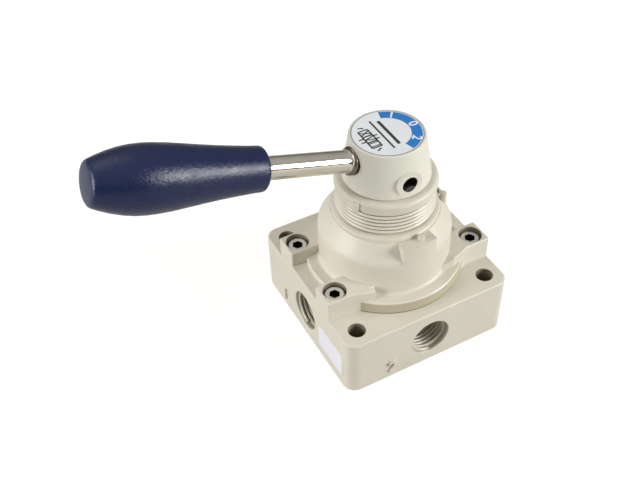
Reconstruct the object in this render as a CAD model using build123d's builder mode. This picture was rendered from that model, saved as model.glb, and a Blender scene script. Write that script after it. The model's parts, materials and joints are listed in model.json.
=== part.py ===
"""Hand lever air valve: a four-port rotary disc valve with a square die-cast body.

The frame has its origin at the centre of the base face, +Z up and the lever towards -X.
All lengths are in millimetres and all angles in degrees.
"""

import os
from math import atan, cos, radians, sin, tan

from build123d import *

os.makedirs("parts", exist_ok=True)

# ---------------------------------------------------------------- driving dimensions

# valve body
body_side = 60.0
body_height = 22.4
body_corner = 4.2
body_edge = 0.5
mount_inset = 6.0
mount_hole_r = 2.75

# ports, one in the middle of each side: thread size G 1/4
port_r = 6.58
port_depth = 12.0
port_chamfer = 0.4
port_height = 11.3
pilot_r = 4.6
passage_r = 3.0
pilot_overrun = 0.8
passage_circle = 12.5
port_angles = (0, 90, 180, 270)

# cover: flange, ears, shell and panel-mounting neck
flange_r = 26.0
flange_height = 4.5
bar_outer = 17.0
bar_inner = 8.0
ear_height = 8.1
plate_height = 2.7
web_reach = 19.4
web_start = 14.4
web_knee = 21.5
shell_r = 21.7
shell_foot_fillet = 1.3
shell_round = 12.0
cone_height = 8.3
cone_top_r = 19.0
neck_length = 9.2
neck_r = 15.6
collar_r = 16.2
collar_height = 2.1
collar_round = 1.2
cover_height = 36.5
cast_edge = 0.5
ear_edge = 0.4

# chamber inside the cover
chamber_r = 19.2
upper_chamber_r = 17.4
upper_chamber_height = 8.0
crown_thickness = 5.6

# locating pad and pins that key the cover in a panel
pad_half_width = 6.0
pad_r = 21.65
pad_drop = 2.2
pad_angle = 270
key_pin_r = 1.1
key_pin_rise = 0.2
key_pin_circle = 20.2
key_pin_root = 4.0
key_pin_angles = (274, 342)

# cover screws, M4 socket head
screw_inset = 4.5
screw_y = 12.6
screw_r = 2.0
screw_length = 12.0
head_r = 3.25
head_height = 4.0
head_recess = 1.4
socket_flats = 3.2
socket_depth = 2.2
head_clearance = 0.6
head_chamfer = 0.35
shank_clearance = 0.1

# spindle, its bush, seals and washer
spindle_r = 6.0
spindle_seat_r = 7.4
spindle_tip_r = 5.0
tip_cover = 6.35
spindle_clearance = 0.05
bush_wall = 2.5
bush_length = 8.9
washer_thickness = 0.5
washer_r = 9.6
carrier_r = 16.4
carrier_thickness = 8.0
stub_r = 4.0
stub_clearance = 0.3
seal_section_r = 0.85
seal_groove = 2.0

# cover seal
cover_seal_circle = 22.2
cover_seal_r = 0.7
cover_groove_width = 2.0
cover_groove_depth = 1.45

# rotary disc with its two transfer grooves, drive pins and spring
disc_r = 18.6
disc_thickness = 6.6
groove_width = 6.0
groove_depth = 2.5
groove_span = 90.0
groove_angles = (90, 270)
drive_pin_r = 1.5
drive_pin_circle = 13.0
drive_pin_bite = 3.0
drive_angles = (0, 180)
spring_r = 6.6
spring_wire_r = 0.7
spring_turns = 3.5
spring_pocket_depth = 3.0
spring_gap = 0.15

# detent: two balls that rise into dimples in the ceiling of the chamber
ball_r = 2.5
ball_circle = 12.5
ball_lift = 0.5
ball_gap = 0.05
ball_pocket_clearance = 0.1
ball_angles = (90, 270)
detent_spring_r = 1.8
detent_wire_r = 0.3
detent_turns = 2.5
detent_spring_length = 2.6

# stop pin
stop_pin_r = 1.5
stop_pin_circle = 12.5
stop_pin_drop = 2.5
stop_pin_bite = 3.0
stop_clearance = 0.1
lever_swing = 45.0

# lever hub
hub_gap = 0.3
hub_height = 14.75
hub_foot_r = 14.0
hub_top_r = 11.65
hub_round = 0.4
dial_r = 10.85
dial_thickness = 0.35
dial_gap = 0.1
boss_r = 4.2
boss_reach = 13.4
boss_rise = 4.5
set_screw_r = 2.5
set_screw_length = 5.0
set_screw_socket = 2.5
set_screw_sink = 3.0

# lever: rod, washer and grip along one tilted axis
lever_tilt = 17.1
lever_rise = 5.2
rod_r = 3.45
rod_thread_r = 3.0
rod_foot = 6.6
rod_shoulder = 13.2
rod_flare_r = 4.05
rod_flare_length = 1.6
rod_end = 76.0
washer_ring_r = 4.3
washer_ring_thickness = 0.8
thread_clearance = 0.05
grip_foot = 43.5
grip_foot_r = 6.35
grip_edge = 0.9
grip_mid = 61.7
grip_mid_r = 7.85
grip_widest = 77.5
grip_widest_r = 9.3
grip_shoulder = 86.6
grip_shoulder_r = 8.15
grip_end = 92.2
grip_end_r = 4.7
grip_dome = 1.0
grip_bore_clearance = 0.05

# plain white label on the side of the body
label_length = 15.5
label_height = 9.5
label_thickness = 0.12
label_inset = 12.6
label_centre_z = 9.4


def side_plane(angle, distance, height):
    """Plane facing outwards at an angle round the valve axis."""
    outward = Vector(cos(radians(angle)), sin(radians(angle)), 0)
    along = Vector(-sin(radians(angle)), cos(radians(angle)), 0)
    return Plane(origin=outward * distance + Vector(0, 0, height), x_dir=along, z_dir=outward)


def polar(radius, angle):
    """Point in the XY plane from a radius and an angle."""
    return (radius * cos(radians(angle)), radius * sin(radians(angle)))


def coil(radius, wire, foot, length, turns, centre=(0, 0)):
    """Builds an open coil spring that stands at a height above the base face."""
    rise = length - 2 * wire
    path = Helix(pitch=rise / turns, height=rise, radius=radius)
    path = path.moved(Location((centre[0], centre[1], foot + wire)))
    with BuildPart() as spring:
        with BuildSketch(Plane(origin=path @ 0, z_dir=path % 0)):
            Circle(wire)
        sweep(path=path, is_frenet=True)
    return spring.part


def save(part, name):
    """Labels a finished piece and writes it to its own file."""
    part.label = name
    export_step(part, f"parts/{name}.step")


half_side = body_side / 2
mount_pitch = body_side - 2 * mount_inset
screw_x = half_side - screw_inset
ear_top = body_height + ear_height
cover_top = body_height + cover_height
neck_top = cover_top - collar_height
rim_height = neck_top - neck_length
shell_top = rim_height - cone_height
pad_top = rim_height - pad_drop
ceiling = rim_height - crown_thickness
chamber_shoulder = ceiling - upper_chamber_height
bush_foot = cover_top - bush_length
seal_height = (ceiling + bush_foot) / 2
hub_foot = cover_top + hub_gap
hub_top = hub_foot + hub_height
tip_height = hub_top - tip_cover
boss_height = hub_foot + boss_rise
lever_height = hub_foot + lever_rise
head_top = ear_top - head_recess
head_foot = head_top - head_height
carrier_top = ceiling - washer_thickness
carrier_foot = carrier_top - carrier_thickness
disc_top = body_height + disc_thickness
pilot_end = passage_circle - passage_r - pilot_overrun

# ---------------------------------------------------------------- valve body

with BuildPart() as valve_body:
    with BuildSketch():
        RectangleRounded(body_side, body_side, body_corner)
    extrude(amount=body_height)
    fillet(valve_body.edges().group_by(Axis.Z)[-1], body_edge)
    chamfer(valve_body.edges().group_by(Axis.Z)[0], body_edge)
    with Locations((0, 0, body_height)):
        with GridLocations(mount_pitch, mount_pitch, 2, 2):
            Hole(mount_hole_r)
    with Locations((0, 0, body_height)):
        with GridLocations(2 * screw_x, 2 * screw_y, 2, 2):
            Hole(screw_r, depth=body_height - head_foot + screw_length + screw_r)
    for angle in port_angles:
        with BuildSketch(side_plane(angle, half_side, port_height)):
            Circle(port_r)
        extrude(amount=-port_depth, mode=Mode.SUBTRACT)
        with BuildSketch(side_plane(angle, half_side - port_depth, port_height)):
            Circle(pilot_r)
        extrude(amount=-(half_side - port_depth - pilot_end), mode=Mode.SUBTRACT)
        with BuildSketch(side_plane(angle, half_side, port_height)):
            Circle(port_r + port_chamfer)
        extrude(amount=-port_chamfer, taper=45, mode=Mode.SUBTRACT)
    with BuildSketch(Plane.XY.offset(body_height)):
        with PolarLocations(passage_circle, len(port_angles)):
            Circle(passage_r)
    extrude(amount=-(body_height - port_height), mode=Mode.SUBTRACT)
    with Locations((0, 0, body_height)):
        Hole(stub_r + stub_clearance, depth=spring_pocket_depth)
    with BuildSketch(Plane.XY.offset(body_height)):
        Circle(cover_seal_circle + cover_groove_width / 2)
        Circle(cover_seal_circle - cover_groove_width / 2, mode=Mode.SUBTRACT)
    extrude(amount=-cover_groove_depth, mode=Mode.SUBTRACT)
save(valve_body.part, "valve_body")

# ---------------------------------------------------------------- cover

shell_foot = body_height + flange_height
cone_slope = atan((shell_r - cone_top_r) / (cone_height - cast_edge))
round_run = shell_round * tan(cone_slope / 2)

with BuildPart() as cover:
    # flange plate, flush with the body between the ears
    with BuildSketch(Plane.XY.offset(body_height)):
        Rectangle(body_side, 2 * bar_outer)
    extrude(amount=plate_height)
    # two bars whose ends are the four screw ears, flared where they meet the shell
    with BuildSketch(Plane.XY.offset(body_height)):
        Rectangle(body_side, 2 * bar_outer)
        with PolarLocations(0, 2):
            Polygon(
                (web_start, -web_reach),
                (web_knee, -bar_outer),
                (web_knee, bar_outer),
                (web_start, web_reach),
                align=None,
            )
        Rectangle(body_side, 2 * bar_inner, mode=Mode.SUBTRACT)
    extrude(amount=ear_height)
    fillet(cover.edges().filter_by(Axis.Z).group_by(Axis.X)[0], cast_edge)
    fillet(cover.edges().filter_by(Axis.Z).group_by(Axis.X)[-1], cast_edge)
    fillet(cover.faces().filter_by(Axis.Z).group_by(Axis.Z)[-1].edges(), ear_edge)
    # round flange, shell, cone, rim and neck
    with BuildSketch(Plane.XZ):
        with BuildLine():
            Polyline(
                (0, body_height),
                (flange_r, body_height),
                (flange_r, shell_foot - ear_edge),
                (flange_r - ear_edge, shell_foot),
                (shell_r + shell_foot_fillet, shell_foot),
            )
            RadiusArc(
                (shell_r + shell_foot_fillet, shell_foot),
                (shell_r, shell_foot + shell_foot_fillet),
                shell_foot_fillet,
            )
            Line((shell_r, shell_foot + shell_foot_fillet), (shell_r, shell_top - round_run))
            RadiusArc(
                (shell_r, shell_top - round_run),
                (shell_r - round_run * sin(cone_slope), shell_top + round_run * cos(cone_slope)),
                -shell_round,
            )
            Polyline(
                (shell_r - round_run * sin(cone_slope), shell_top + round_run * cos(cone_slope)),
                (cone_top_r, rim_height - cast_edge),
                (cone_top_r, rim_height),
                (neck_r, rim_height),
                (neck_r, neck_top),
                (collar_r, neck_top),
                (collar_r, cover_top - collar_round),
            )
            RadiusArc(
                (collar_r, cover_top - collar_round),
                (collar_r - collar_round, cover_top),
                -collar_round,
            )
            Polyline((collar_r - collar_round, cover_top), (0, cover_top), (0, body_height))
        make_face()
    revolve(axis=Axis.Z)
    # locating pad on the cone and the two pins that key into a panel
    with BuildSketch(Plane.XY.offset(shell_top - 2 * cast_edge).rotated((0, 0, pad_angle))):
        Circle(pad_r)
        with Locations((neck_r + pad_r / 2, 0)):
            Rectangle(pad_r, 2 * pad_half_width, mode=Mode.INTERSECT)
    extrude(amount=pad_top - shell_top + 2 * cast_edge)
    with BuildSketch(Plane.XY.offset(rim_height - key_pin_root)):
        for angle in key_pin_angles:
            with Locations(polar(key_pin_circle - key_pin_r, angle)):
                Circle(key_pin_r)
    extrude(amount=key_pin_root + key_pin_rise)
    # chamber for the disc and the detent, and the bore through the neck
    with BuildSketch(Plane.XZ):
        with BuildLine():
            Polyline(
                (0, body_height),
                (chamber_r, body_height),
                (chamber_r, chamber_shoulder),
                (upper_chamber_r, chamber_shoulder + chamber_r - upper_chamber_r),
                (upper_chamber_r, ceiling),
                (spindle_seat_r + spindle_clearance, ceiling),
                (spindle_seat_r + spindle_clearance, bush_foot),
                (spindle_r + spindle_clearance + bush_wall, bush_foot),
                (spindle_r + spindle_clearance + bush_wall, cover_top),
                (0, cover_top),
                close=True,
            )
        make_face()
    revolve(axis=Axis.Z, mode=Mode.SUBTRACT)
    # detent dimples at the three lever positions of each ball
    for angle in ball_angles:
        for turn in (-lever_swing, 0, lever_swing):
            x, y = polar(ball_circle, angle + turn)
            with Locations((x, y, ceiling - ball_gap - ball_r + ball_lift)):
                Sphere(ball_r + ball_gap, mode=Mode.SUBTRACT)
    with BuildSketch(Plane.XY.offset(ceiling)):
        with Locations((stop_pin_circle, 0)):
            Circle(stop_pin_r)
    extrude(amount=stop_pin_bite, mode=Mode.SUBTRACT)
    # counterbored screw holes in the ears
    with Locations((0, 0, ear_top)):
        with GridLocations(2 * screw_x, 2 * screw_y, 2, 2):
            CounterBoreHole(
                radius=screw_r + shank_clearance,
                counter_bore_radius=head_r + head_clearance,
                counter_bore_depth=head_recess + head_height,
                depth=ear_height,
            )
save(cover.part, "cover")

# ---------------------------------------------------------------- cover screws and seal

with BuildPart() as cover_screws:
    with GridLocations(2 * screw_x, 2 * screw_y, 2, 2):
        with Locations((0, 0, head_foot)):
            Cylinder(head_r, head_height, align=(Align.CENTER, Align.CENTER, Align.MIN))
            Cylinder(
                screw_r - shank_clearance,
                screw_length,
                align=(Align.CENTER, Align.CENTER, Align.MAX),
            )
    chamfer(cover_screws.edges().group_by(Axis.Z)[-1], head_chamfer)
    with BuildSketch(Plane.XY.offset(head_top)):
        with GridLocations(2 * screw_x, 2 * screw_y, 2, 2):
            RegularPolygon(socket_flats / 2, 6, major_radius=False)
    extrude(amount=-socket_depth, mode=Mode.SUBTRACT)
save(cover_screws.part, "cover_screws")

with BuildPart() as cover_seal:
    with Locations((0, 0, body_height - cover_groove_depth + cover_seal_r)):
        Torus(cover_seal_circle, cover_seal_r)
save(cover_seal.part, "cover_seal")

# ---------------------------------------------------------------- spindle with detent carrier

seat_foot_r = spindle_seat_r - 2 * seal_section_r

with BuildPart() as spindle:
    with BuildSketch(Plane.XZ):
        with BuildLine():
            Polyline(
                (0, disc_top - spring_pocket_depth),
                (stub_r, disc_top - spring_pocket_depth),
                (stub_r, carrier_foot),
                (carrier_r, carrier_foot),
                (carrier_r, carrier_top),
                (spindle_seat_r, carrier_top),
                (spindle_seat_r, seal_height - seal_groove / 2),
                (seat_foot_r, seal_height - seal_groove / 2),
                (seat_foot_r, seal_height + seal_groove / 2),
                (spindle_seat_r, seal_height + seal_groove / 2),
                (spindle_seat_r, bush_foot - spindle_clearance),
                (spindle_r, bush_foot - spindle_clearance),
                (spindle_r, cover_top),
                (spindle_tip_r, hub_foot),
                (spindle_tip_r, tip_height),
                (0, tip_height),
                close=True,
            )
        make_face()
    revolve(axis=Axis.Z)
    # pockets for the detent balls and their springs
    with BuildSketch(Plane.XY.offset(carrier_top)):
        for angle in ball_angles:
            with Locations(polar(ball_circle, angle)):
                Circle(ball_r + ball_pocket_clearance)
    ball_foot = ceiling - ball_gap - 2 * ball_r
    extrude(amount=-(carrier_top - ball_foot + detent_spring_length), mode=Mode.SUBTRACT)
    # curved slot that the stop pin runs in
    with BuildSketch(Plane.XY.offset(carrier_top)):
        SlotArc(
            CenterArc((0, 0), stop_pin_circle, -lever_swing, 2 * lever_swing),
            2 * (stop_pin_r + stop_clearance),
        )
    extrude(amount=-(stop_pin_drop + stop_clearance), mode=Mode.SUBTRACT)
    # sockets for the drive pins
    with BuildSketch(Plane.XY.offset(carrier_foot)):
        for angle in drive_angles:
            with Locations(polar(drive_pin_circle, angle)):
                Circle(drive_pin_r)
    extrude(amount=drive_pin_bite, mode=Mode.SUBTRACT)
    # flat for the set screw
    with Locations((0, -spindle_tip_r, boss_height)):
        Box(2 * spindle_tip_r, 2 * hub_round, 2 * set_screw_r, mode=Mode.SUBTRACT)
save(spindle.part, "spindle")

with BuildPart() as spindle_seal:
    with Locations((0, 0, seal_height)):
        Torus(spindle_seat_r - seal_section_r, seal_section_r - spindle_clearance)
save(spindle_seal.part, "spindle_seal")

with BuildPart() as neck_bush:
    with BuildSketch(Plane.XY.offset(bush_foot)):
        Circle(spindle_r + spindle_clearance + bush_wall)
        Circle(spindle_r + spindle_clearance, mode=Mode.SUBTRACT)
    extrude(amount=cover_top - bush_foot)
save(neck_bush.part, "neck_bush")

with BuildPart() as thrust_washer:
    with BuildSketch(Plane.XY.offset(carrier_top)):
        Circle(washer_r)
        Circle(spindle_seat_r + spindle_clearance, mode=Mode.SUBTRACT)
    extrude(amount=washer_thickness)
save(thrust_washer.part, "thrust_washer")

with BuildPart() as stop_pin:
    with BuildSketch(Plane.XY.offset(ceiling - stop_pin_drop)):
        with Locations((stop_pin_circle, 0)):
            Circle(stop_pin_r)
    extrude(amount=stop_pin_drop + stop_pin_bite)
save(stop_pin.part, "stop_pin")

# ---------------------------------------------------------------- rotary disc and its drive

with BuildPart() as valve_disc:
    with BuildSketch(Plane.XY.offset(body_height)):
        Circle(disc_r)
    extrude(amount=disc_thickness)
    chamfer(valve_disc.edges().group_by(Axis.Z)[-1], cast_edge)
    # transfer grooves in the lapped face
    with BuildSketch(Plane.XY.offset(body_height)):
        for angle in groove_angles:
            SlotArc(
                CenterArc((0, 0), passage_circle, angle - groove_span / 2, groove_span),
                groove_width,
            )
    extrude(amount=groove_depth, mode=Mode.SUBTRACT)
    with BuildSketch(Plane.XY.offset(disc_top)):
        Circle(spring_r + spring_wire_r + spring_gap)
    extrude(amount=-spring_pocket_depth, mode=Mode.SUBTRACT)
    with BuildSketch(Plane.XY.offset(disc_top)):
        for angle in drive_angles:
            with Locations(polar(drive_pin_circle, angle)):
                Circle(drive_pin_r + stop_clearance)
    extrude(amount=-drive_pin_bite, mode=Mode.SUBTRACT)
save(valve_disc.part, "valve_disc")

with BuildPart() as drive_pins:
    with BuildSketch(Plane.XY.offset(disc_top - drive_pin_bite + stop_clearance)):
        for angle in drive_angles:
            with Locations(polar(drive_pin_circle, angle)):
                Circle(drive_pin_r)
    extrude(amount=carrier_foot - disc_top + 2 * drive_pin_bite - stop_clearance)
save(drive_pins.part, "drive_pins")

disc_spring_foot = disc_top - spring_pocket_depth
save(
    coil(spring_r, spring_wire_r, disc_spring_foot, carrier_foot - disc_spring_foot, spring_turns),
    "disc_spring",
)

# ---------------------------------------------------------------- detent balls and springs

for angle, place in zip(ball_angles, ("rear", "front")):
    x, y = polar(ball_circle, angle)
    with BuildPart() as detent_ball:
        with Locations((x, y, ball_foot + ball_r)):
            Sphere(ball_r)
    save(detent_ball.part, f"detent_ball_{place}")
    save(
        coil(
            detent_spring_r,
            detent_wire_r,
            ball_foot - detent_spring_length,
            detent_spring_length,
            detent_turns,
            (x, y),
        ),
        f"detent_spring_{place}",
    )

# ---------------------------------------------------------------- lever hub

lever_axis = Axis((0, 0, lever_height), (-cos(radians(lever_tilt)), 0, sin(radians(lever_tilt))))
lever_plane = Plane(origin=lever_axis.position, x_dir=lever_axis.direction, z_dir=(0, 1, 0))
spot_face = rod_shoulder - washer_ring_thickness

with BuildPart() as lever_hub:
    with BuildSketch(Plane.XZ):
        Polygon(
            (0, hub_foot),
            (hub_foot_r, hub_foot),
            (hub_top_r, hub_top),
            (0, hub_top),
            align=None,
        )
    revolve(axis=Axis.Z)
    fillet(lever_hub.edges(), hub_round)
    # round boss for the set screw
    with BuildSketch(side_plane(270, boss_reach, boss_height)):
        Circle(boss_r)
    extrude(amount=-boss_r)
    with BuildSketch(side_plane(270, boss_reach, boss_height)):
        Circle(set_screw_r)
    extrude(amount=-boss_reach, mode=Mode.SUBTRACT)
    # bore for the spindle and recess for the dial plate
    with BuildSketch(Plane.XY.offset(hub_foot)):
        Circle(spindle_tip_r + spindle_clearance)
    extrude(amount=tip_height + dial_thickness - hub_foot, mode=Mode.SUBTRACT)
    with BuildSketch(Plane.XY.offset(hub_top)):
        Circle(dial_r + dial_gap)
    extrude(amount=-dial_thickness, mode=Mode.SUBTRACT)
    # threaded hole and spot face for the lever rod
    with BuildSketch(lever_plane):
        Polygon(
            (rod_foot - rod_thread_r / 5, 0),
            (rod_foot - rod_thread_r / 5, rod_thread_r + thread_clearance),
            (spot_face, rod_thread_r + thread_clearance),
            (spot_face, washer_ring_r + dial_gap),
            (hub_foot_r + washer_ring_r, washer_ring_r + dial_gap),
            (hub_foot_r + washer_ring_r, 0),
            align=None,
        )
    revolve(axis=lever_axis, mode=Mode.SUBTRACT)
save(lever_hub.part, "lever_hub")

with BuildPart() as hub_set_screw:
    screw_foot = spindle_tip_r - hub_round
    with BuildSketch(side_plane(270, screw_foot, boss_height)):
        Circle(set_screw_r - thread_clearance)
    extrude(amount=set_screw_length)
    with BuildSketch(side_plane(270, screw_foot + set_screw_length, boss_height)):
        RegularPolygon(set_screw_socket / 2, 6, major_radius=False)
    extrude(amount=-set_screw_socket, mode=Mode.SUBTRACT)
save(hub_set_screw.part, "hub_set_screw")

with BuildPart() as dial_plate:
    with BuildSketch(Plane.XY.offset(hub_top - dial_thickness)):
        Circle(dial_r)
    extrude(amount=dial_thickness)
save(dial_plate.part, "dial_plate")

# ---------------------------------------------------------------- lever rod, washer and grip

with BuildPart() as lever_rod:
    with BuildSketch(lever_plane):
        with BuildLine():
            Polyline(
                (rod_foot, 0),
                (rod_foot, rod_thread_r),
                (rod_shoulder, rod_thread_r),
                (rod_shoulder, rod_flare_r),
            )
            Spline(
                (rod_shoulder, rod_flare_r),
                (rod_shoulder + rod_flare_length, rod_r),
                tangents=((1, -0.4), (1, 0)),
            )
            Polyline(
                (rod_shoulder + rod_flare_length, rod_r),
                (rod_end, rod_r),
                (rod_end, 0),
                (rod_foot, 0),
            )
        make_face()
    revolve(axis=lever_axis)
save(lever_rod.part, "lever_rod")

with BuildPart() as lever_washer:
    with BuildSketch(lever_plane):
        Polygon(
            (spot_face, rod_thread_r + thread_clearance),
            (spot_face, washer_ring_r),
            (rod_shoulder, washer_ring_r),
            (rod_shoulder, rod_thread_r + thread_clearance),
            align=None,
        )
    revolve(axis=lever_axis)
save(lever_washer.part, "lever_washer")

with BuildPart() as grip:
    bore_r = rod_r + grip_bore_clearance
    bore_end = rod_end + grip_bore_clearance
    with BuildSketch(lever_plane):
        with BuildLine():
            Polyline(
                (grip_end, 0),
                (bore_end, 0),
                (bore_end, bore_r),
                (grip_foot, bore_r),
                (grip_foot, grip_foot_r - grip_edge),
            )
            RadiusArc(
                (grip_foot, grip_foot_r - grip_edge),
                (grip_foot + grip_edge, grip_foot_r),
                grip_edge,
            )
            Spline(
                (grip_foot + grip_edge, grip_foot_r),
                (grip_mid, grip_mid_r),
                (grip_widest, grip_widest_r),
                (grip_shoulder, grip_shoulder_r),
                (grip_end - grip_dome, grip_end_r),
                tangents=((1, 0), (1, -2.2)),
            )
            Spline(
                (grip_end - grip_dome, grip_end_r),
                (grip_end, 0),
                tangents=((1, -2.2), (0, -1)),
            )
        make_face()
    revolve(axis=lever_axis)
save(grip.part, "grip")

# ---------------------------------------------------------------- side label

with BuildPart() as side_label:
    with BuildSketch(side_plane(180, half_side, 0)):
        with Locations((half_side - label_inset, label_centre_z)):
            RectangleRounded(label_length, label_height, cast_edge)
    extrude(amount=label_thickness)
save(side_label.part, "side_label")
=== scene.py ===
# %% [markdown]
# # Hand lever air valve
#
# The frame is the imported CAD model. It is loaded first, and every piece made
# here rides on one of its bodies. All lengths are in metres.

# %% Load the frame
import json
import math

import bpy
from mathutils import Matrix, Vector


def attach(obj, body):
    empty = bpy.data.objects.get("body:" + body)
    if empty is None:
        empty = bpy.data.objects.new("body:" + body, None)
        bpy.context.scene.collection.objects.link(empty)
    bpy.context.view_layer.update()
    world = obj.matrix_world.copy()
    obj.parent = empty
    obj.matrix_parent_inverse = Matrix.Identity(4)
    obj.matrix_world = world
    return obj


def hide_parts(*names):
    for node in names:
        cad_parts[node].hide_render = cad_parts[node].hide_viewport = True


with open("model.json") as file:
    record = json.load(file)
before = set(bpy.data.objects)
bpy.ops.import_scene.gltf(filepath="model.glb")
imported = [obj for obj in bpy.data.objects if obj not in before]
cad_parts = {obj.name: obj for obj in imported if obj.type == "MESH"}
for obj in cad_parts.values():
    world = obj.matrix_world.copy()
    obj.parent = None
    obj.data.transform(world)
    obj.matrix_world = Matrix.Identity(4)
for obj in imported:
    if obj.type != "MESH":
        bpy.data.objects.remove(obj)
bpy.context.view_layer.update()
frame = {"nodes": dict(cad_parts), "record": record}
MM = 0.001
print("CAD nodes:", len(frame["nodes"]))

# %% [markdown]
# ## Camera
#
# A long lens looks down on the valve from the front left, with a slight roll.

# %% Place the camera
camera_data = bpy.data.cameras.new("camera")
camera = bpy.data.objects.new("camera", camera_data)
bpy.context.scene.collection.objects.link(camera)
bpy.context.scene.camera = camera

azimuth, elevation, roll = math.radians(-26.864), math.radians(44.229), math.radians(-1.978)
back = Vector(
    (
        math.sin(azimuth) * math.cos(elevation),
        -math.cos(azimuth) * math.cos(elevation),
        math.sin(elevation),
    )
)
aim = Vector((-11.189, 24.426, 14.328)) * MM
right = Vector((0, 0, 1)).cross(back).normalized()
over = back.cross(right)
right_rolled = right * math.cos(roll) + over * math.sin(roll)
over_rolled = over * math.cos(roll) - right * math.sin(roll)
turn = Matrix((right_rolled, over_rolled, back)).transposed()
camera.matrix_world = Matrix.Translation(aim + back * 321.369 * MM) @ turn.to_4x4()
camera_data.sensor_width = 36
camera_data.lens = 50.94
camera_data.clip_start = 0.01
print("camera at", [round(v, 3) for v in camera.location])

# %% [markdown]
# ## Light
#
# Two large soft boxes stand left and right, and a third hangs above. The
# world is dark at the horizon, which draws the grey lines along the bright rod.

# %% Make the soft boxes
bpy.context.scene.view_settings.view_transform = "Standard"
target = Vector((-0.01, 0.0, 0.04))
for name, place, size, power in (
    ("light_left", (-0.87, 0.08, 0.32), 0.50, 7.0),
    ("light_right", (0.62, -0.62, 0.37), 0.38, 8.2),
    ("light_top", (-0.10, 0.35, 0.90), 0.50, 0.9),
):
    bpy.ops.object.light_add(type="AREA", location=place)
    light = bpy.context.object
    light.name = name
    light.data.size = size
    light.data.energy = power
    light.rotation_euler = (target - light.location).to_track_quat("-Z", "Y").to_euler()

# %% Helpers for shader nodes
def math_node(tree, operation, first, second):
    """Math node on a socket and a number or a second socket."""
    node = tree.nodes.new("ShaderNodeMath")
    node.operation = operation
    tree.links.new(first, node.inputs[0])
    if isinstance(second, (int, float)):
        node.inputs[1].default_value = second
    else:
        tree.links.new(second, node.inputs[1])
    return node.outputs[0]


def product(tree, *masks):
    """Masks multiplied together."""
    result = masks[0]
    for mask in masks[1:]:
        result = math_node(tree, "MULTIPLY", result, mask)
    return result


def tinted(tree, under, tint, share):
    """Colour with a flat tint laid over it by a mask."""
    layer = tree.nodes.new("ShaderNodeMix")
    layer.data_type = "RGBA"
    layer.inputs["B"].default_value = (*tint, 1)
    tree.links.new(share, layer.inputs["Factor"])
    tree.links.new(under, layer.inputs["A"])
    return layer.outputs["Result"]


def direct_view(tree):
    """Mask of the rays that see the backdrop itself, and the mask of glossy rays."""
    path = tree.nodes.new("ShaderNodeLightPath")
    seen = math_node(
        tree, "MAXIMUM", path.outputs["Is Camera Ray"], path.outputs["Is Transmission Ray"]
    )
    return seen, path.outputs["Is Glossy Ray"]


print("node helpers ready")

# %% Helpers for the world
def slope(tree, height, low, high, top):
    """Background that runs from low at the horizon to high at the given height."""
    ramp = tree.nodes.new("ShaderNodeValToRGB")
    ramp.color_ramp.elements[0].color = (*low, 1)
    ramp.color_ramp.elements[1].position = top
    ramp.color_ramp.elements[1].color = (*high, 1)
    tree.links.new(height, ramp.inputs["Fac"])
    background = tree.nodes.new("ShaderNodeBackground")
    tree.links.new(ramp.outputs["Color"], background.inputs["Color"])
    return background.outputs["Background"]


def blend(tree, share, first, second):
    """Mix of two shaders."""
    node = tree.nodes.new("ShaderNodeMixShader")
    tree.links.new(share, node.inputs["Fac"])
    tree.links.new(first, node.inputs[1])
    tree.links.new(second, node.inputs[2])
    return node.outputs["Shader"]


print("world helpers ready")

# %% Make the world
world = bpy.data.worlds.new("studio")
bpy.context.scene.world = world
world.use_nodes = True
tree = world.node_tree
tree.nodes.clear()
output = tree.nodes.new("ShaderNodeOutputWorld")
coord = tree.nodes.new("ShaderNodeTexCoord")
split = tree.nodes.new("ShaderNodeSeparateXYZ")
tree.links.new(coord.outputs["Generated"], split.inputs["Vector"])
fill = slope(tree, split.outputs["Z"], (0.10, 0.09, 0.075), (0.36, 0.36, 0.37), 0.75)
tent = slope(tree, split.outputs["Z"], (0.10, 0.085, 0.06), (0.66, 0.66, 0.66), 0.95)
plain = tree.nodes.new("ShaderNodeBackground")
plain.inputs["Color"].default_value = (1, 1, 1, 1)
seen, glossy = direct_view(tree)
mirrored = blend(tree, glossy, fill, tent)
tree.links.new(blend(tree, seen, mirrored, plain.outputs["Background"]), output.inputs["Surface"])
print("world nodes:", len(tree.nodes))

# %% [markdown]
# The floor glows for the camera, so it stays white, and still takes a soft
# shadow beside the valve. The glow is weaker there than further out.

# %% Make the white floor
bpy.ops.mesh.primitive_plane_add(size=4, location=(0, 0, -0.0002))
floor = bpy.context.object
floor.name = "floor"
paper = bpy.data.materials.new("white_floor")
paper.use_nodes = True
tree = paper.node_tree
tree.nodes.clear()
output = tree.nodes.new("ShaderNodeOutputMaterial")
glow = tree.nodes.new("ShaderNodeEmission")
matt = tree.nodes.new("ShaderNodeBsdfDiffuse")
matt.inputs["Color"].default_value = (0.45, 0.44, 0.41, 1)
coord = tree.nodes.new("ShaderNodeTexCoord")
reach = tree.nodes.new("ShaderNodeVectorMath")
reach.operation = "LENGTH"
tree.links.new(coord.outputs["Object"], reach.inputs[0])
strength = tree.nodes.new("ShaderNodeMapRange")
strength.inputs["From Min"].default_value = 0.10
strength.inputs["From Max"].default_value = 0.45
strength.inputs["To Min"].default_value = 0.70
strength.inputs["To Max"].default_value = 1.0
tree.links.new(reach.outputs["Value"], strength.inputs["Value"])
seen, glossy = direct_view(tree)
mirrored = math_node(tree, "MULTIPLY", glossy, 0.3)
seen = math_node(tree, "MAXIMUM", seen, mirrored)
power = math_node(tree, "MULTIPLY", strength.outputs["Result"], seen)
tree.links.new(power, glow.inputs["Strength"])
both = tree.nodes.new("ShaderNodeAddShader")
tree.links.new(matt.outputs["BSDF"], both.inputs[0])
tree.links.new(glow.outputs["Emission"], both.inputs[1])
tree.links.new(both.outputs["Shader"], output.inputs["Surface"])
floor.data.materials.append(paper)
print("floor ready")

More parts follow.
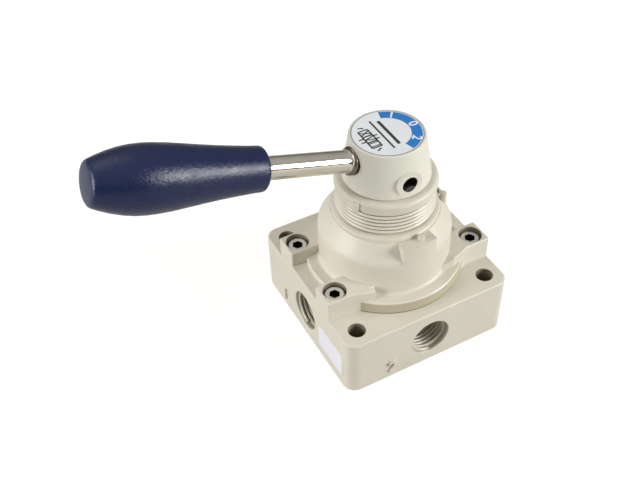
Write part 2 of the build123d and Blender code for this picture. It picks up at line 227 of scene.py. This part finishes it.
# %% [markdown]
# ## Shared surface effects
#
# Each effect is a node group that gives masks and heights. The materials set
# their own constants on the shader.

# %% Make the grain group
def noise(tree, coordinate, scale, detail, roughness=0.5):
    """Noise texture in object space."""
    node = tree.nodes.new("ShaderNodeTexNoise")
    node.inputs["Scale"].default_value = scale
    node.inputs["Detail"].default_value = detail
    node.inputs["Roughness"].default_value = roughness
    tree.links.new(coordinate, node.inputs["Vector"])
    return node.outputs["Fac"]


def new_group(name, outputs):
    """Empty node group with float outputs."""
    tree = bpy.data.node_groups.new(name, "ShaderNodeTree")
    for label in outputs:
        tree.interface.new_socket(label, in_out="OUTPUT", socket_type="NodeSocketFloat")
    return tree, tree.nodes.new("NodeGroupOutput")


grain, grain_out = new_group("cast_grain", ("Height", "Patch"))
coord = grain.nodes.new("ShaderNodeTexCoord")
fine = noise(grain, coord.outputs["Object"], 1400, 3)
broad = noise(grain, coord.outputs["Object"], 90, 2)
grain.links.new(fine, grain_out.inputs["Height"])
grain.links.new(broad, grain_out.inputs["Patch"])
print("group:", grain.name)

# %% Make the brushed group
brushed, brushed_out = new_group("brushed_lines", ("Height", "Patch"))
coord = brushed.nodes.new("ShaderNodeTexCoord")
stretch = brushed.nodes.new("ShaderNodeMapping")
stretch.inputs["Scale"].default_value = (1, 14, 1)
brushed.links.new(coord.outputs["Object"], stretch.inputs["Vector"])
lines = noise(brushed, stretch.outputs["Vector"], 900, 2)
broad = noise(brushed, coord.outputs["Object"], 160, 2)
brushed.links.new(lines, brushed_out.inputs["Height"])
brushed.links.new(broad, brushed_out.inputs["Patch"])
print("group:", brushed.name)

# %% Make the mottled group
mottle, mottle_out = new_group("mottled_skin", ("Height", "Patch"))
coord = mottle.nodes.new("ShaderNodeTexCoord")
pits = noise(mottle, coord.outputs["Object"], 1100, 4, 0.65)
broad = noise(mottle, coord.outputs["Object"], 240, 3)
mottle.links.new(pits, mottle_out.inputs["Height"])
mottle.links.new(broad, mottle_out.inputs["Patch"])
print("group:", mottle.name)

# %% Make the material maker
def surface(name, dark, light, group, bump, rough, metallic=0.0, coat=0.0, depth=0.1):
    """Principled material whose colour, roughness and bump follow a node group."""
    mat = bpy.data.materials.new(name)
    mat.use_nodes = True
    tree = mat.node_tree
    shader = tree.nodes["Principled BSDF"]
    shader.inputs["Metallic"].default_value = metallic
    shader.inputs["Coat Weight"].default_value = coat
    source = tree.nodes.new("ShaderNodeGroup")
    source.node_tree = group
    tint = tree.nodes.new("ShaderNodeMix")
    tint.data_type = "RGBA"
    tint.inputs["A"].default_value = (*dark, 1)
    tint.inputs["B"].default_value = (*light, 1)
    spread = tree.nodes.new("ShaderNodeMapRange")
    spread.inputs["From Min"].default_value = 0.3
    spread.inputs["From Max"].default_value = 0.7
    spread.inputs["To Min"].default_value = rough[0]
    spread.inputs["To Max"].default_value = rough[1]
    relief = tree.nodes.new("ShaderNodeBump")
    relief.inputs["Strength"].default_value = bump
    relief.inputs["Distance"].default_value = depth * MM
    tree.links.new(source.outputs["Patch"], tint.inputs["Factor"])
    tree.links.new(source.outputs["Patch"], spread.inputs["Value"])
    tree.links.new(source.outputs["Height"], relief.inputs["Height"])
    tree.links.new(tint.outputs["Result"], shader.inputs["Base Color"])
    tree.links.new(spread.outputs["Result"], shader.inputs["Roughness"])
    tree.links.new(relief.outputs["Normal"], shader.inputs["Normal"])
    return mat


print("material maker ready")

# %% Make the paints and the grip plastic
cast_paint = surface(
    "cast_paint", (0.64, 0.60, 0.50), (0.71, 0.665, 0.56), grain, 0.25, (0.36, 0.48), coat=0.1
)
hub_paint = surface(
    "hub_paint", (0.67, 0.655, 0.56), (0.73, 0.715, 0.62), grain, 0.2, (0.34, 0.46), coat=0.1
)
grip_plastic = surface(
    "grip_plastic", (0.004, 0.010, 0.048), (0.008, 0.017, 0.070), mottle, 0.8, (0.24, 0.34),
    depth=0.15,
)
grip_plastic.node_tree.nodes["Principled BSDF"].inputs["Specular IOR Level"].default_value = 0.4
print("paints:", len(bpy.data.materials))

# %% Make the metals
rod_chrome = surface(
    "rod_chrome", (0.60, 0.56, 0.46), (0.78, 0.75, 0.67), brushed, 0.05, (0.05, 0.13), 1.0
)
screw_steel = surface(
    "screw_steel", (0.60, 0.58, 0.52), (0.84, 0.82, 0.76), grain, 0.15, (0.28, 0.42), 0.9
)
black_steel = surface(
    "black_steel", (0.015, 0.015, 0.015), (0.04, 0.04, 0.038), grain, 0.15, (0.30, 0.45), 0.8
)
plain_steel = surface(
    "plain_steel", (0.50, 0.50, 0.49), (0.60, 0.60, 0.59), brushed, 0.2, (0.25, 0.38), 1.0
)
machined = surface(
    "machined_alloy", (0.50, 0.47, 0.38), (0.64, 0.60, 0.50), brushed, 0.2, (0.36, 0.48), 0.15
)
dark_nickel = surface(
    "dark_nickel", (0.16, 0.14, 0.11), (0.26, 0.23, 0.18), brushed, 0.1, (0.14, 0.24), 1.0
)
bush_brass = surface(
    "bush_brass", (0.60, 0.42, 0.16), (0.72, 0.54, 0.24), brushed, 0.2, (0.25, 0.40), 1.0
)
print("materials so far:", len(bpy.data.materials))

# %% Make the rubber, plastic, paper and ink
seal_rubber = surface(
    "seal_rubber", (0.012, 0.012, 0.012), (0.03, 0.03, 0.03), grain, 0.3, (0.55, 0.70)
)
disc_plastic = surface(
    "disc_plastic", (0.66, 0.65, 0.58), (0.74, 0.73, 0.68), grain, 0.1, (0.40, 0.55)
)
label_paper = surface(
    "label_paper", (0.74, 0.74, 0.80), (0.82, 0.82, 0.88), grain, 0.15, (0.45, 0.60)
)
ink = surface("black_ink", (0.02, 0.02, 0.02), (0.04, 0.04, 0.04), grain, 0.05, (0.35, 0.45))
white_ink = surface("white_ink", (0.80, 0.84, 0.88), (0.88, 0.90, 0.93), grain, 0.05, (0.35, 0.45))
print("materials:", len(bpy.data.materials))

# %% [markdown]
# ## Bare metal, stain and painted shade on the casting
#
# Holes are drilled after painting, so their walls are bare, and painted shade
# darkens them; the screw sockets and the set screw hole are painted near black
# as shade. The turned edge of the round flange keeps a thin, stained coat with
# painted shade on it, a painted shadow lines the seam at its foot, and the roots
# of the neck's thread are darker with painted shade. Each mask is 1 where its
# effect shows.

# %% Make the group of bare metal, stain and painted shade masks
bare_and_shade, bare_and_shade_out = new_group("bare_metal_and_painted_shade", ("DrilledShade", "TappedShade", "FlangeStainShade", "Seam", "DeepShade", "RootShade"))
coord = bare_and_shade.nodes.new("ShaderNodeTexCoord")
split = bare_and_shade.nodes.new("ShaderNodeSeparateXYZ")
bare_and_shade.links.new(coord.outputs["Object"], split.inputs["Vector"])
across = math_node(bare_and_shade, "ABSOLUTE", split.outputs["X"], 0)
along = math_node(bare_and_shade, "ABSOLUTE", split.outputs["Y"], 0)
height = split.outputs["Z"]


def within_round(first, second, centre, radius):
    """Mask that is 1 inside a circle about a centre given in millimetres."""
    joined = bare_and_shade.nodes.new("ShaderNodeCombineXYZ")
    bare_and_shade.links.new(first, joined.inputs["X"])
    bare_and_shade.links.new(second, joined.inputs["Y"])
    gap = bare_and_shade.nodes.new("ShaderNodeVectorMath")
    gap.operation = "DISTANCE"
    gap.inputs[1].default_value = (centre[0] * MM, centre[1] * MM, 0)
    bare_and_shade.links.new(joined.outputs["Vector"], gap.inputs[0])
    return math_node(bare_and_shade, "LESS_THAN", gap.outputs["Value"], radius * MM)


print("inputs of", bare_and_shade.name, "ready")

# %% Mask the drilled and tapped holes, whose walls get painted shade
screw_place = (25.5, 12.6)
port_height = 11.3
# Painted shade: the walls of the mounting holes and the counterbores are tinted dark.
mounting = within_round(across, along, (24, 24), 2.9)
counterbore = product(
    bare_and_shade,
    within_round(across, along, screw_place, 3.95),
    math_node(bare_and_shade, "LESS_THAN", height, 30.3 * MM),
)
bare_and_shade.links.new(math_node(bare_and_shade, "MAXIMUM", mounting, counterbore), bare_and_shade_out.inputs["DrilledShade"])
sideways = math_node(bare_and_shade, "MINIMUM", across, along)
outwards = math_node(bare_and_shade, "MAXIMUM", across, along)
# Painted shade: the port walls between the thread ridges are tinted darker.
port = product(
    bare_and_shade,
    within_round(sideways, height, (0, port_height), 7.05),
    math_node(bare_and_shade, "LESS_THAN", outwards, 29.93 * MM),
)
bare_and_shade.links.new(port, bare_and_shade_out.inputs["TappedShade"])
print("hole masks ready")

# %% Mask the sockets of the screws and the set screw hole, painted black as shade
# Painted shade: the hex sockets of the cover screws are painted near black.
socket = product(
    bare_and_shade,
    within_round(across, along, screw_place, 1.95),
    math_node(bare_and_shade, "LESS_THAN", height, 28.95 * MM),
)
# Painted shade: the set screw hole in the hub is painted near black.
screw_hole = product(
    bare_and_shade,
    within_round(split.outputs["X"], height, (0, 63.7), 2.56),
    math_node(bare_and_shade, "LESS_THAN", split.outputs["Y"], 0),
)
bare_and_shade.links.new(math_node(bare_and_shade, "MAXIMUM", socket, screw_hole), bare_and_shade_out.inputs["DeepShade"])
print("socket masks ready")

# %% Mask the flange and the neck for stain and painted shade
def within_turned(radius):
    """Mask that is 1 inside a radius about the spindle axis, in millimetres."""
    return within_round(split.outputs["X"], split.outputs["Y"], (0, 0), radius)


# Stain and painted shade: the turned edge of the flange is tinted darker on its front and back
# arcs.
edge = product(
    bare_and_shade,
    math_node(bare_and_shade, "SUBTRACT", within_turned(26.1), within_turned(25.75)),
    math_node(bare_and_shade, "GREATER_THAN", height, 22.5 * MM),
    math_node(bare_and_shade, "LESS_THAN", height, 26.6 * MM),
    math_node(bare_and_shade, "GREATER_THAN", along, 17.1 * MM),
)
# Painted shadow: a dark line along the foot of the flange, where it meets the body.
seam_shadow = product(bare_and_shade, edge, math_node(bare_and_shade, "LESS_THAN", height, 22.9 * MM))
# Painted shade: the roots of the neck's thread are tinted darker.
root_shade = product(
    bare_and_shade,
    within_turned(15.62),
    math_node(bare_and_shade, "GREATER_THAN", height, 46.9 * MM),
    math_node(bare_and_shade, "LESS_THAN", height, 55.7 * MM),
)
bare_and_shade.links.new(edge, bare_and_shade_out.inputs["FlangeStainShade"])
bare_and_shade.links.new(seam_shadow, bare_and_shade_out.inputs["Seam"])
bare_and_shade.links.new(root_shade, bare_and_shade_out.inputs["RootShade"])
print("group:", bare_and_shade.name)

# %% Mix bare metal, stain and painted shade into the paint and the screws
def layered(material, *layers):
    """Lays flat tints over a material's colour, each where its mask is 1."""
    tree = material.node_tree
    shader = tree.nodes["Principled BSDF"]
    masks = tree.nodes.new("ShaderNodeGroup")
    masks.node_tree = bare_and_shade
    colour = shader.inputs["Base Color"].links[0].from_socket
    for mask, tint, amount in layers:
        share = math_node(tree, "MULTIPLY", masks.outputs[mask], amount)
        colour = tinted(tree, colour, tint, share)
    tree.links.new(colour, shader.inputs["Base Color"])


# Stain and painted shade on the casting: the flange edge, the seam, the thread roots, the holes
# and the port walls are tinted darker.
layered(
    cast_paint,
    ("FlangeStainShade", (0.40, 0.35, 0.22), 0.7),
    ("Seam", (0.09, 0.07, 0.04), 0.75),
    ("RootShade", (0.22, 0.19, 0.12), 0.75),
    ("DrilledShade", (0.20, 0.17, 0.115), 0.88),
    ("TappedShade", (0.32, 0.285, 0.205), 0.88),
)
# Painted shade: the set screw hole and the screw sockets are painted near black.
layered(hub_paint, ("DeepShade", (0.012, 0.011, 0.009), 0.97))
layered(screw_steel, ("DeepShade", (0.015, 0.014, 0.012), 0.95))
print("layered materials: 3")

# %% [markdown]
# ## Dial print and painted rim shadow
#
# The dial is satin foil with a blue band on the side away from the lever and a
# dark ring at its rim, a painted shadow of the gap round the dial. Both are
# masks in polar coordinates round the spindle axis.

# %% Make the dial material
dial_foil = surface(
    "dial_foil", (0.80, 0.82, 0.83), (0.88, 0.90, 0.91), brushed, 0.04, (0.28, 0.36)
)
tree = dial_foil.node_tree
shader = tree.nodes["Principled BSDF"]
foil_colour = shader.inputs["Base Color"].links[0].from_socket
coord = tree.nodes.new("ShaderNodeTexCoord")
split = tree.nodes.new("ShaderNodeSeparateXYZ")
tree.links.new(coord.outputs["Object"], split.inputs["Vector"])
flat = tree.nodes.new("ShaderNodeCombineXYZ")
tree.links.new(split.outputs["X"], flat.inputs["X"])
tree.links.new(split.outputs["Y"], flat.inputs["Y"])
length = tree.nodes.new("ShaderNodeVectorMath")
length.operation = "LENGTH"
tree.links.new(flat.outputs["Vector"], length.inputs[0])
angle = math_node(tree, "ARCTAN2", split.outputs["Y"], split.outputs["X"])
turned = math_node(tree, "ABSOLUTE", angle, 0)
band = product(
    tree,
    math_node(tree, "GREATER_THAN", length.outputs["Value"], 7.2 * MM),
    math_node(tree, "LESS_THAN", length.outputs["Value"], 10.45 * MM),
    math_node(tree, "LESS_THAN", turned, math.radians(75)),
)
# Painted shadow: a dark ring at the rim of the dial stands for the gap round it.
gap_shadow = math_node(tree, "GREATER_THAN", length.outputs["Value"], 10.68 * MM)
printed = tinted(tree, foil_colour, (0.012, 0.20, 0.58), band)
printed = tinted(tree, printed, (0.20, 0.19, 0.17), gap_shadow)
tree.links.new(printed, shader.inputs["Base Color"])
print("dial nodes:", len(tree.nodes))

# %% [markdown]
# ## CAD nodes
#
# Every CAD node takes the material of its slot in the record. The screws, the
# hub and the washer then take their own.

# %% Assign the materials
slot_materials = {
    "cast_body": cast_paint,
    "black_steel": black_steel,
    "seal_rubber": seal_rubber,
    "plain_steel": plain_steel,
    "bush_brass": bush_brass,
    "disc_plastic": disc_plastic,
    "spring_steel": plain_steel,
    "bright_steel": rod_chrome,
    "dial_foil": dial_foil,
    "rod_chrome": rod_chrome,
    "grip_plastic": grip_plastic,
    "label_paper": label_paper,
}
for part in frame["record"]["subparts"]:
    node = frame["nodes"][part["node"]]
    node.data.materials.clear()
    node.data.materials.append(slot_materials[part["material_slot"]])
frame["nodes"]["cover_screws"].data.materials[0] = screw_steel
frame["nodes"]["lever_hub"].data.materials[0] = hub_paint
frame["nodes"]["lever_washer"].data.materials[0] = black_steel

# %% Helpers for pieces
def select_only(obj):
    """Makes one object active and selected."""
    bpy.ops.object.select_all(action="DESELECT")
    obj.select_set(True)
    bpy.context.view_layer.objects.active = obj


def settle(obj, name, body, material, angle=35):
    """Names a piece, bakes its place into the mesh, smooths it and lets it ride."""
    select_only(obj)
    bpy.ops.object.transform_apply(location=True, rotation=True, scale=True)
    bpy.ops.object.shade_smooth_by_angle(angle=math.radians(angle))
    obj.name = name
    obj.data.materials.clear()
    obj.data.materials.append(material)
    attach(obj, body)
    return obj


print("piece helpers ready")

# %% Helpers for shapes
def round_edges(obj, offset, segments):
    """Bevels every edge of a piece."""
    select_only(obj)
    bpy.ops.object.mode_set(mode="EDIT")
    bpy.ops.mesh.select_all(action="SELECT")
    bpy.ops.mesh.bevel(offset=offset, segments=segments, affect="EDGES")
    bpy.ops.object.mode_set(mode="OBJECT")


def polar(radius, azimuth, height):
    """Point at a radius and an azimuth in degrees round Z."""
    turn = math.radians(azimuth)
    return Vector((radius * math.cos(turn), radius * math.sin(turn), height))


def lathe(profile, sides=96, hollow=False):
    """Turns (radius, height) pairs round Z; hollow joins the last ring to the first."""
    radius, height = profile[0]
    bpy.ops.mesh.primitive_circle_add(vertices=sides, radius=radius, location=(0, 0, 0))
    obj = bpy.context.object
    bpy.ops.object.mode_set(mode="EDIT")
    bpy.ops.mesh.select_all(action="SELECT")
    bpy.ops.transform.translate(value=(0, 0, height))
    for next_radius, next_height in profile[1:]:
        bpy.ops.mesh.extrude_region_move(
            TRANSFORM_OT_translate={"value": (0, 0, next_height - height)}
        )
        bpy.ops.transform.resize(
            value=(next_radius / radius, next_radius / radius, 1),
            center_override=(0, 0, next_height),
        )
        radius, height = next_radius, next_height
    bpy.ops.mesh.select_all(action="DESELECT")
    bpy.ops.mesh.select_non_manifold()
    if hollow:
        bpy.ops.mesh.bridge_edge_loops()
    else:
        bpy.ops.mesh.fill_holes(sides=0)
    bpy.ops.mesh.select_all(action="SELECT")
    bpy.ops.mesh.normals_make_consistent(inside=False)
    bpy.ops.object.mode_set(mode="OBJECT")
    return obj


print("shape helpers ready")

# %% [markdown]
# ## Lever
#
# The rod and the grip lie on one axis that rises about 17 degrees from the hub.

# %% Make the grip
lever_tilt = math.radians(17.25)
lever_origin = Vector((0, 0, 64.4)) * MM


def along_lever(obj):
    """Lays a piece turned round Z along the lever axis."""
    obj.rotation_euler = (0, lever_tilt - math.pi / 2, 0)
    obj.location = lever_origin


grip_profile = [
    (3.50, 44.4), (3.50, 43.15), (3.9, 43.1), (5.6, 43.1), (6.15, 43.2), (6.45, 43.5),
    (6.55, 43.95), (6.62, 46.0), (6.98, 51.0), (7.46, 56.5), (8.03, 61.7), (8.63, 66.6),
    (9.16, 71.2), (9.44, 75.3), (9.48, 77.9), (9.32, 81.0), (8.84, 84.1), (8.08, 87.2),
    (7.12, 90.1), (6.42, 91.9), (6.02, 92.55), (5.45, 92.9), (4.3, 93.1), (2.2, 93.22),
    (0.2, 93.27),
]
grip = lathe([(r * MM, z * MM) for r, z in grip_profile])
along_lever(grip)
settle(grip, "grip_moulding", "lever", grip_plastic)
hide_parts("grip")
print("grip faces:", len(grip.data.polygons))

# %% Make the rod
rod_profile = [
    (3.0, 10.0), (3.0, 13.2), (4.1, 13.2), (4.22, 13.32), (4.22, 13.5), (4.08, 13.72),
    (3.84, 14.05), (3.64, 14.5), (3.52, 15.1), (3.46, 15.9), (3.45, 17.0), (3.45, 44.3),
]
rod = lathe([(r * MM, z * MM) for r, z in rod_profile])
along_lever(rod)
settle(rod, "rod_bar", "lever", rod_chrome)
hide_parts("lever_rod")
print("rod faces:", len(rod.data.polygons))

# %% Make the collar of the rod
collar_profile = [
    (3.3, 13.25), (4.3, 13.25), (4.38, 13.4), (4.38, 13.85), (4.24, 14.15), (3.95, 14.4),
    (3.55, 14.6), (3.3, 14.6),
]
collar = lathe([(r * MM, z * MM) for r, z in collar_profile], hollow=True)
along_lever(collar)
settle(collar, "rod_collar", "lever", dark_nickel)
print("collar faces:", len(collar.data.polygons))

# %% [markdown]
# ## Cover casting
#
# The cover is a copy of its solid. The cone is a little narrower at its rim,
# which sits lower on the neck, and the neck is turned down below the collar to
# leave room for the thread.

# %% Copy the cover
casting = bpy.data.objects.new("cover_casting", frame["nodes"]["cover"].data.copy())
bpy.context.scene.collection.objects.link(casting)
select_only(casting)
bpy.ops.object.mode_set(mode="EDIT")
bpy.ops.mesh.select_all(action="SELECT")
bpy.ops.mesh.remove_doubles(threshold=0.002 * MM)
bpy.ops.object.mode_set(mode="OBJECT")
bpy.ops.mesh.customdata_custom_splitnormals_clear()

print("cover corners:", len(casting.data.vertices))

# %% Name the sizes of the casting
shell_radius, shell_height = 18.2, 42.1
cone_foot, cone_rise, cone_ceiling = 39.3, 8.3, 48.2
rim_radius, rim_shrink, rim_drop, rim_foot = 19.0, 1.35, 1.9, 46.9
wall_inner, wall_outer, wall_foot, wall_ceiling = 15.3, 15.75, 47.0, 57.2
neck_root, neck_edge, collar_foot = 15.1, 15.9, 48.0
pad_root, pad_inner, pad_top, pad_half_width, pad_side = 21.2, 17.8, 45.4, 6.5, -15
pin_foot, stump_radius, stump_height = 47.65, 17.2, 45.6
rim_scale = (rim_radius - rim_shrink - neck_root) / (rim_radius - neck_root)
print("rim radius:", rim_radius - rim_shrink)

# %% Move the corners of the casting
def reshaped(corner, radius, height):
    """Radius and height, in millimetres, that a corner of the cover moves to."""
    in_front = corner.y < pad_side * MM
    on_pad = radius > pad_root and in_front and abs(corner.x) < pad_half_width * MM
    on_shell = radius > shell_radius or height > shell_height
    if wall_inner < radius < wall_outer and wall_foot < height < wall_ceiling:
        return neck_root, height - rim_drop if height < collar_foot else height
    if on_pad or not on_shell or radius <= neck_edge or not cone_foot < height < cone_ceiling:
        return radius, height
    if height > pin_foot:
        return min(neck_root + (radius - neck_root) * rim_scale, stump_radius), stump_height
    if height > rim_foot:
        return neck_root + (radius - neck_root) * rim_scale, height - rim_drop
    if abs(height - pad_top) < 0.02 and in_front:
        return pad_inner, height
    share = min((height - cone_foot) / cone_rise, 1.0)
    return radius - rim_shrink * share, height - rim_drop * share


moved = 0
for vertex in casting.data.vertices:
    radius, height = vertex.co.xy.length / MM, vertex.co.z / MM
    new_radius, new_height = reshaped(vertex.co, radius, height)
    if (new_radius, new_height) != (radius, height):
        moved += 1
        vertex.co.xy *= new_radius / radius
        vertex.co.z = new_height * MM
settle(casting, "cover_casting", "housing", cast_paint, angle=25)
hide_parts("cover")
print("cover corners moved:", moved)

# %% Make the key pins
for name, azimuth in (("key_pin_front", 274), ("key_pin_right", 342)):
    bpy.ops.mesh.primitive_cylinder_add(
        vertices=32, radius=1.1 * MM, depth=4.4 * MM, location=polar(19.1, azimuth, 44.8) * MM
    )
    pin = bpy.context.object
    round_edges(pin, 0.15 * MM, 2)
    settle(pin, name, "housing", cast_paint)
print("key pins: 2")

# %% [markdown]
# ## Threads
#
# A thread is a small polygon carried along a helix by a Screw modifier. The
# neck's ridge stands on the neck, and each port's ridge stands inwards from its
# wall.

# %% Make the thread maker
def thread(radius, depth, width, pitch, turns, start, corners=8):
    """Helical ridge whose section is a polygon centred on the given radius."""
    bpy.ops.mesh.primitive_circle_add(
        vertices=corners, radius=1, location=(0, 0, 0), rotation=(math.pi / 2, 0, 0)
    )
    obj = bpy.context.object
    bpy.ops.object.transform_apply(rotation=True)
    bpy.ops.object.mode_set(mode="EDIT")
    bpy.ops.mesh.select_all(action="SELECT")
    section_turn = math.pi / 8 if corners == 8 else math.pi / 2
    bpy.ops.transform.rotate(value=section_turn, orient_axis="Y", center_override=(0, 0, 0))
    bpy.ops.transform.resize(value=(depth, 1, width / 2), center_override=(0, 0, 0))
    bpy.ops.transform.translate(value=(radius, 0, start))
    bpy.ops.object.mode_set(mode="OBJECT")
    screw = obj.modifiers.new("helix", "SCREW")
    screw.axis = "Z"
    screw.screw_offset = pitch
    screw.iterations = turns
    screw.steps = 64
    screw.render_steps = 64
    screw.use_smooth_shade = False
    bpy.ops.object.convert(target="MESH")
    bpy.ops.object.mode_set(mode="EDIT")
    bpy.ops.mesh.select_all(action="DESELECT")
    bpy.ops.mesh.select_non_manifold()
    bpy.ops.mesh.fill_holes(sides=0)
    bpy.ops.mesh.select_all(action="SELECT")
    bpy.ops.mesh.normals_make_consistent(inside=False)
    bpy.ops.object.mode_set(mode="OBJECT")
    return bpy.context.object


neck_thread = thread(15.15 * MM, 0.88 * MM, 1.42 * MM, 1.42 * MM, 6, 47.1 * MM, corners=6)
settle(neck_thread, "neck_thread", "housing", cast_paint, angle=30)
print("neck thread faces:", len(neck_thread.data.polygons))

# %% Make the set screw thread
screw_thread = thread(2.56 * MM, 0.28 * MM, 0.7 * MM, 0.8 * MM, 3, -3.3 * MM)
screw_thread.rotation_euler = (math.pi / 2, 0, 0)
screw_thread.location = Vector((0, -13.4, 63.7)) * MM
settle(screw_thread, "set_screw_thread", "lever", black_steel, angle=30)
print("set screw thread faces:", len(screw_thread.data.polygons))

# %% Make the rings on the neck
neck_rings = {
    "neck_collar": [
        (15.0, 55.6), (16.1, 55.6), (16.23, 55.72), (16.26, 56.0), (16.26, 57.6), (15.0, 57.6),
    ],
    "rim_bead": [
        (15.0, 46.9), (15.95, 46.85), (16.4, 46.72), (16.9, 46.55), (17.2, 46.35),
        (17.36, 46.1), (17.4, 45.5), (15.0, 45.5),
    ],
}
for name, profile in neck_rings.items():
    band = lathe([(r * MM, z * MM) for r, z in profile], hollow=True)
    settle(band, name, "housing", cast_paint)
print("neck rings:", len(neck_rings))

# %% Make the rib on the collar
bpy.ops.mesh.primitive_cube_add(size=1, location=(0, 0, 0))
rib = bpy.context.object
rib.scale = (1.0 * MM, 2.2 * MM, 3.4 * MM)
bpy.ops.object.transform_apply(scale=True)
round_edges(rib, 0.3 * MM, 3)
rib_azimuth = -154
rib.rotation_euler = (0, 0, math.radians(rib_azimuth))
rib.location = polar(16.55, rib_azimuth, 56.5) * MM
settle(rib, "collar_rib", "housing", cast_paint)
print("rib faces:", len(rib.data.polygons))

# %% [markdown]
# A small web joins the right front ear to the dome. Its inner end slopes down.

# %% Make the web behind the right ear
bpy.ops.mesh.primitive_cube_add(size=1, location=(0, 0, 0))
web = bpy.context.object
web.scale = (5.4 * MM, 2.6 * MM, 3.9 * MM)
web.location = (11.85 * MM, -18.1 * MM, 28.5 * MM)
bpy.ops.object.transform_apply(location=True, scale=True)
bpy.ops.object.mode_set(mode="EDIT")
bpy.ops.mesh.select_all(action="DESELECT")
bpy.ops.object.mode_set(mode="OBJECT")
for corner in web.data.vertices:
    at_inner_end = corner.co.x < 10 * MM
    corner.select = at_inner_end and corner.co.z > 30 * MM
bpy.ops.object.mode_set(mode="EDIT")
bpy.ops.transform.translate(value=(0, 0, -1.2 * MM))
bpy.ops.object.mode_set(mode="OBJECT")
settle(web, "ear_web", "housing", cast_paint)
print("web corners:", len(web.data.vertices))

# %% Make the port threads
half_side = 30
for side, angle in (("right", 0), ("rear", 90), ("left", 180), ("front", 270)):
    ridge = thread(6.6 * MM, 0.80 * MM, 1.16 * MM, 1.337 * MM, 7, -10.4 * MM)
    ridge.rotation_euler = (0, math.pi / 2, math.radians(angle))
    ridge.location = polar(half_side, angle, port_height) * MM
    settle(ridge, "port_thread_" + side, "housing", machined, angle=30)
print("port threads: 4")

# %% [markdown]
# ## Marks
#
# The dial carries plain position numbers and a line drawing of a valve. The
# body carries a raised number beside two ports.

# %% Make the dial numbers
hub_top = 73.95
digit_radius = 8.85


def numeral(text, size, depth, boldness=0.0):
    """Solid numeral that lies in the XY plane, centred on the origin."""
    bpy.ops.object.text_add(location=(0, 0, 0))
    obj = bpy.context.object
    obj.data.body = text
    obj.data.size = size
    obj.data.extrude = depth
    obj.data.offset = boldness
    obj.data.align_x = "CENTER"
    obj.data.align_y = "CENTER"
    bpy.ops.object.convert(target="MESH")
    return bpy.context.object


for text, angle in (("1", 51), ("0", 0), ("2", -45)):
    digit = numeral(text, 4.1 * MM, 0.02 * MM, 0.09 * MM)
    digit.rotation_euler = (0, 0, math.radians(angle) - math.pi / 2)
    digit.location = polar(digit_radius, angle, hub_top) * MM
    settle(digit, "dial_number_" + text, "lever", white_ink)
print("dial numbers: 3")

# %% Make the dial drawing
strokes = []


def stroke(x0, y0, x1, y1, width=0.5):
    """Thin printed line between two points of the dial, in millimetres."""
    start, end = Vector((x0, y0, hub_top)), Vector((x1, y1, hub_top))
    bpy.ops.mesh.primitive_cube_add(size=1, location=(start + end) / 2 * MM)
    bar = bpy.context.object
    bar.scale = ((end - start).length * MM, width * MM, 0.04 * MM)
    bar.rotation_euler = (0, 0, math.atan2(y1 - y0, x1 - x0))
    bpy.ops.object.transform_apply(location=True, rotation=True, scale=True)
    strokes.append(bar)


box_left, box_right, half_box = -7.6, -4.4, 1.45
for x, y0, y1, width in ((0.4, 6.2, -6.2, 1.0), (-1.9, 7.4, -7.2, 0.6)):
    stroke(x, y0, x, y1, width)
for box in (-1, 0, 1):
    y = box * 2 * half_box
    for x in (box_right, box_left):
        stroke(x, y - half_box, x, y + half_box)
    for edge in (-half_box, half_box):
        stroke(box_right, y + edge, box_left, y + edge)
    stroke(box_right, y - 0.8, box_left, y + 0.8 * box, 0.42)
    stroke(box_right, y + 0.8, box_left, y - 0.8 * box, 0.42)
for y in (-0.8, 0.8):
    stroke(box_left, y, -9.2, y)
    stroke(box_right, y, -3.1, y)
for y, lean in ((5.3, 0.7), (-5.3, -0.7)):
    stroke(-5.2, y, -6.8, y + lean)
bpy.ops.object.select_all(action="DESELECT")
for bar in strokes:
    bar.select_set(True)
bpy.context.view_layer.objects.active = strokes[0]
bpy.ops.object.join()
settle(bpy.context.object, "dial_drawing", "lever", ink)
print("dial strokes:", len(strokes))

# %% Make the raised port numbers
for text, angle, along, height in (("2", 270, -14.2, 5.6), ("1", 180, -14.4, 6.2)):
    digit = numeral(text, 6.4 * MM, 0.7 * MM, 0.2 * MM)
    digit.rotation_euler = (math.pi / 2, 0, math.radians(angle + 90))
    sideways = polar(along, angle + 90, 0)
    digit.location = (polar(half_side, angle, height) + sideways) * MM
    settle(digit, "port_number_" + text, "housing", cast_paint)
print("port numbers: 2")
